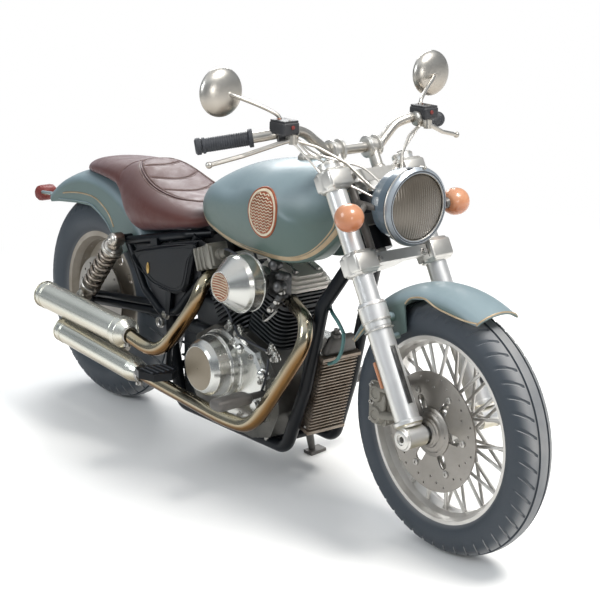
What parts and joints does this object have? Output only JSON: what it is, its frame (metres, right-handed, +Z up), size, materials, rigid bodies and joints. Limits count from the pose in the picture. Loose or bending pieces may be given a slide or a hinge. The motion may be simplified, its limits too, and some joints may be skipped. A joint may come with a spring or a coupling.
{
  "type": "cruiser motorcycle",
  "caption": "Low cruiser motorcycle with a finned V-twin engine, teardrop tank, wire front wheel, round headlight, stepped leather seat and two right-hand silencers, on its side stand.",
  "frame": {"origin": "centre of the bounding box's underside, on the road, with the machine leaning 6 degrees onto its side stand", "axes": "+X the way it rides, +Y to the rider's left, +Z up"},
  "size_m": [2.4169, 0.876, 1.2604],
  "materials": {
    "paint_green": "gloss sage-green paint, slightly cloudy in its reflections",
    "paint_black": "gloss blue-black enamel on tubes and covers",
    "paint_bluegrey": "gloss dark blue-grey enamel on the lamp bowl",
    "leather_brown": "red-brown leather with a soft purple-grey sheen and stitched seams",
    "tyre_rubber": "blue-black rubber with grooves and fine slanting cuts",
    "rubber_black": "matt black rubber",
    "chrome_satin": "satin chrome with warm reflections",
    "fork_silver": "satin silver, slightly creamy",
    "clamp_silver": "matt silver casting",
    "cast_alloy": "as-cast light alloy, dulled",
    "engine_black": "semi-matt black engine enamel on fins",
    "case_silver": "bright polished casting",
    "rocker_silver": "brushed warm silver with stepped ribs",
    "exhaust_chrome": "chrome tinted gold and bronze by heat",
    "silencer_chrome": "satin chrome, warm",
    "disc_steel": "ground brake steel",
    "rim_silver": "polished rim, hub and spokes",
    "rear_rim": "beige-grey enamelled wheel",
    "cooler_alloy": "fine corrugated fins, browned",
    "spring_bronze": "bronze-tinted chrome",
    "plastic_black": "moulded black plastic",
    "lens_amber": "amber plastic lens",
    "lens_red": "red plastic lens",
    "lens_glass": "ribbed lamp glass, greyed",
    "stand_grey": "grey painted steel"
  },
  "bodies": {
    "frame": {"air_cleaner": "case_silver", "crankcase_cover": "case_silver", "cylinder_front": "engine_black", "cylinder_rear": "engine_black", "engine_case": "cast_alloy", "exhaust_header_front": "exhaust_chrome", "exhaust_header_rear": "exhaust_chrome", "frame": "paint_black", "front_peg_left": "stand_grey", "front_peg_right": "stand_grey", "fuel_tank": "paint_green", "oil_cooler": "cooler_alloy", "primary_cover": "case_silver", "rear_axle": "chrome_satin", "rear_fender": "paint_green", "rocker_cover_front": "rocker_silver", "rocker_cover_rear": "rocker_silver", "seat": "leather_brown", "shock_left": "spring_bronze", "shock_right": "spring_bronze", "side_cover_left": "paint_black", "side_cover_right": "paint_black", "silencer_lower": "silencer_chrome", "silencer_upper": "silencer_chrome", "swingarm": "paint_black", "tail_lamp": "lens_red", "tank_cap": "chrome_satin"},
    "steering": {"control_box_left": "plastic_black", "control_box_right": "plastic_black", "control_cable_left": "chrome_satin", "control_cable_right": "chrome_satin", "fork_clamp_bottom": "clamp_silver", "fork_clamp_top": "clamp_silver", "fork_leg_left": "fork_silver", "fork_leg_right": "fork_silver", "front_axle": "fork_silver", "front_brake_caliper": "cast_alloy", "front_brake_hose": "rubber_black", "front_fender": "paint_green", "grip_left": "rubber_black", "grip_right": "rubber_black", "handlebar": "chrome_satin", "headlight_bowl": "paint_bluegrey", "headlight_bracket": "stand_grey", "headlight_lens": "lens_glass", "headlight_rim": "chrome_satin", "lever_left": "chrome_satin", "lever_right": "chrome_satin", "mirror_left": "chrome_satin", "mirror_right": "chrome_satin", "turn_signal_left": "lens_amber", "turn_signal_right": "lens_amber"},
    "front_wheel": {"front_tyre": "tyre_rubber", "front_wire_wheel": "rim_silver", "front_brake_disc": "disc_steel"},
    "rear_wheel": {"rear_tyre": "tyre_rubber", "rear_wheel": "rear_rim", "rear_brake_disc": "disc_steel", "rear_belt_pulley": "cast_alloy"},
    "side_stand": {"side_stand": "stand_grey"}
  },
  "joints": [
    {"name": "steering", "type": "hinge", "parent": "frame", "child": "steering", "pos_m": [0.54752, -0.02172, 0.80958], "axis": [-0.4894, 0.0912, 0.8673], "range_deg": [-32, 32]},
    {"name": "front_wheel_spin", "type": "hinge", "parent": "steering", "child": "front_wheel", "pos_m": [0.8735, -0.07176, 0.33349], "axis": [0, 0.9945, -0.1045], "continuous": true},
    {"name": "rear_wheel_spin", "type": "hinge", "parent": "frame", "child": "rear_wheel", "pos_m": [-0.7265, -0.07092, 0.34154], "axis": [0, 0.9945, -0.1045], "continuous": true},
    {"name": "side_stand_fold", "type": "hinge", "parent": "frame", "child": "side_stand", "pos_m": [0.1095, 0.04439, 0.10879], "axis": [0, 0.9945, -0.1045], "range_deg": [0, 85]}
  ]
}
